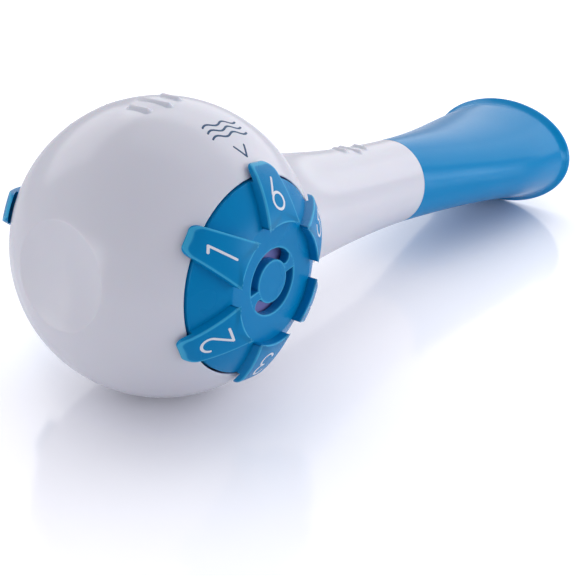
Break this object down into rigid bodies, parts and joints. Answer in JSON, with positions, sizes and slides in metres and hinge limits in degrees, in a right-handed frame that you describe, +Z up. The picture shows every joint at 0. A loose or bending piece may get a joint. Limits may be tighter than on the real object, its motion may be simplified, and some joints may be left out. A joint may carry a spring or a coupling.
{
  "type": "breathing trainer",
  "caption": "Hand-held breathing muscle trainer: a white ball with numbered resistance dials on both sides, a tapered neck and a soft blue oval mouthpiece.",
  "frame": {"origin": "middle of the bounding box's underside, on the table that the trainer lies on", "axes": "+X towards the mouthpiece, +Y towards the exhale dial, +Z up from the table; the long axis dips towards +X as it rests on the ball and the lip"},
  "size_m": [0.1598, 0.0542, 0.0555],
  "materials": {
    "shell": "gloss",
    "dial": "satin",
    "mouth": "satin",
    "inner": "matte",
    "meter": "matte",
    "seal": "matte",
    "valve": "matte",
    "spring": "brushed"
  },
  "bodies": {
    "housing": {"front_shell": "shell", "rear_shell": "shell", "shell_seal": "seal", "inhale_port_plate": "inner", "inhale_window_seal": "seal", "inhale_valve_cup": "inner", "inhale_cup_gasket": "seal", "inhale_click_spring": "spring", "exhale_port_plate": "inner", "exhale_window_seal": "seal", "exhale_valve_cup": "inner", "exhale_cup_gasket": "seal", "exhale_click_spring": "spring"},
    "inhale_dial": {"inhale_dial": "dial", "inhale_meter_disc": "meter", "inhale_hub_washer": "spring", "inhale_hub_screw": "spring"},
    "inhale_valve": {"inhale_valve_disc": "valve"},
    "exhale_dial": {"exhale_dial": "dial", "exhale_meter_disc": "meter", "exhale_hub_washer": "spring", "exhale_hub_screw": "spring"},
    "exhale_valve": {"exhale_valve_disc": "valve"},
    "mouthpiece": {"mouthpiece": "mouth"}
  },
  "joints": [
    {"name": "inhale_dial_turn", "type": "hinge", "parent": "housing", "child": "inhale_dial", "pos_m": [-0.05321, 0, 0.0275], "axis": [0, -1, 0], "continuous": true, "deforming": ["inhale_click_spring"]},
    {"name": "inhale_valve_lift", "type": "slide", "parent": "housing", "child": "inhale_valve", "axis": [0, 1, 0], "range_m": [0, 0.0012]},
    {"name": "exhale_dial_turn", "type": "hinge", "parent": "housing", "child": "exhale_dial", "pos_m": [-0.05321, 0, 0.0275], "axis": [0, 1, 0], "continuous": true, "deforming": ["exhale_click_spring"]},
    {"name": "exhale_valve_lift", "type": "slide", "parent": "housing", "child": "exhale_valve", "axis": [0, 1, 0], "range_m": [0, 0.0012]},
    {"name": "mouthpiece_pull", "type": "slide", "parent": "housing", "child": "mouthpiece", "axis": [0.994, 0, -0.1098], "range_m": [0, 0.02]}
  ]
}
